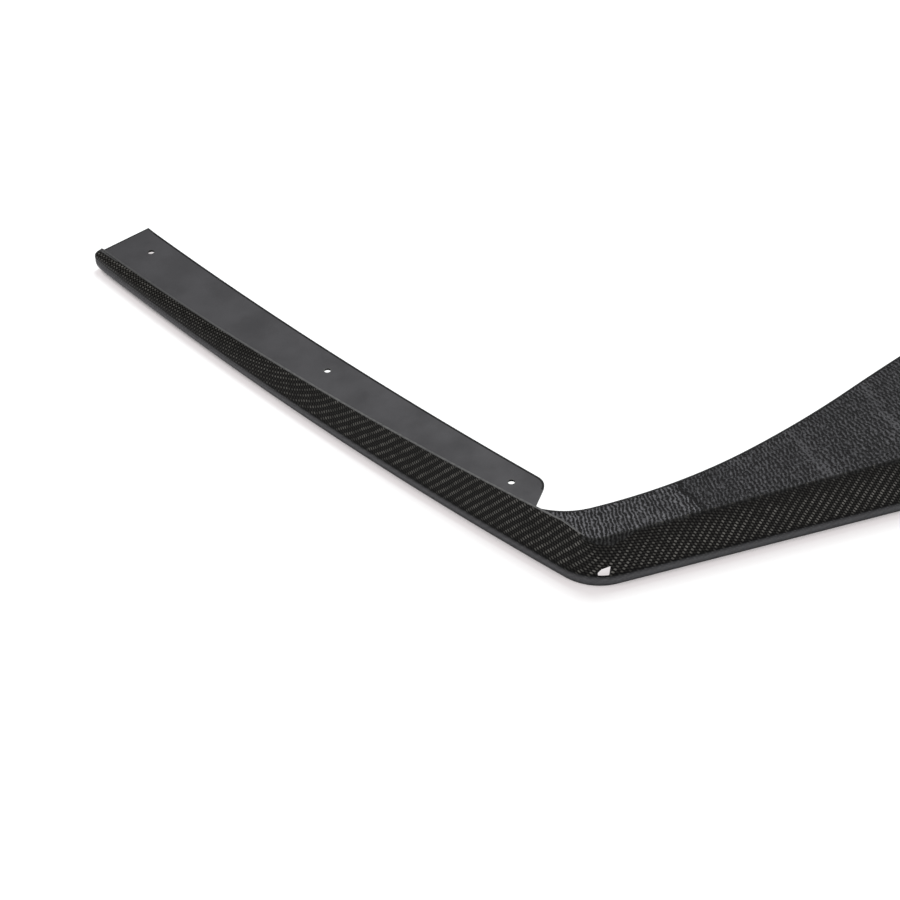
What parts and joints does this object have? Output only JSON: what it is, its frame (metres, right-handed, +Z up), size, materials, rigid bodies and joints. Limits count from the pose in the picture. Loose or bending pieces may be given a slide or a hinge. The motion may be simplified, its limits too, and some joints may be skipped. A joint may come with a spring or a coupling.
{
  "type": "rear bumper valance",
  "caption": "U-shaped carbon-fibre bumper valance: an undercut lip runs round a front plate and two side arms with bolted flanges.",
  "frame": {"origin": "middle of the footprint, on the floor that the lip's bottom edge stands on", "axes": "+X across the car, +Y from the front plate along the arms, +Z up; symmetric about X = 0"},
  "size_m": [1.504, 0.8141, 0.0707],
  "materials": {
    "laminate": "clear-coated carbon twill, satin flange, rough back"
  },
  "bodies": {
    "root": {"valance": "laminate"}
  },
  "joints": []
}
